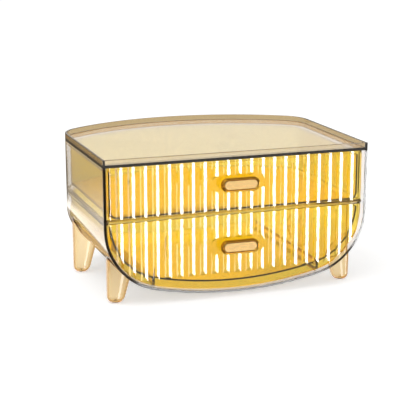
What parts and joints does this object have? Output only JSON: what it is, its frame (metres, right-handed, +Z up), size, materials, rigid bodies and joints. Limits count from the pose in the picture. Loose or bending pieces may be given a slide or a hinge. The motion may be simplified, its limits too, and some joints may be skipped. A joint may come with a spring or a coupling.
{
  "type": "countertop cosmetic organizer",
  "caption": "Clear bow-fronted countertop organizer on tapered legs, with a lipped top tray and sliding amber drawers with fluted fronts and pill pulls, for cosmetics or jewellery.",
  "frame": {"origin": "middle of the bounding box, on the surface that the feet stand on", "axes": "+Z up, +X to the right along the width, -Y to the front where the drawers open"},
  "size_m": [0.3, 0.2424, 0.1611],
  "materials": {
    "clear_plastic": "polished clear",
    "champagne_plastic": "polished tinted",
    "amber_plastic": "polished tinted",
    "leg_plastic": "polished tinted",
    "gold_plating": "polished plating",
    "satin_champagne": "satin anodised",
    "steel": "plain",
    "silicone": "matte"
  },
  "bodies": {
    "casing": {"casing": "clear_plastic", "top_tray": "champagne_plastic", "middle_shelf": "clear_plastic", "leg_front_left": "leg_plastic", "leg_front_right": "leg_plastic", "leg_back_left": "leg_plastic", "leg_back_right": "leg_plastic", "foot_pad_front_left": "silicone", "foot_pad_front_right": "silicone", "foot_pad_back_left": "silicone", "foot_pad_back_right": "silicone"},
    "upper_drawer": {"upper_drawer_tray": "amber_plastic", "upper_drawer_front": "amber_plastic", "upper_pull": "gold_plating", "upper_pull_face": "satin_champagne", "upper_pull_screws": "steel"},
    "lower_drawer": {"lower_drawer_tray": "amber_plastic", "lower_drawer_front": "amber_plastic", "lower_pull": "gold_plating", "lower_pull_face": "satin_champagne", "lower_pull_screws": "steel"}
  },
  "joints": [
    {"name": "upper_drawer_slide", "type": "slide", "parent": "casing", "child": "upper_drawer", "axis": [0, -1, 0], "range_m": [0, 0.13]},
    {"name": "lower_drawer_slide", "type": "slide", "parent": "casing", "child": "lower_drawer", "axis": [0, -1, 0], "range_m": [0, 0.13]}
  ]
}
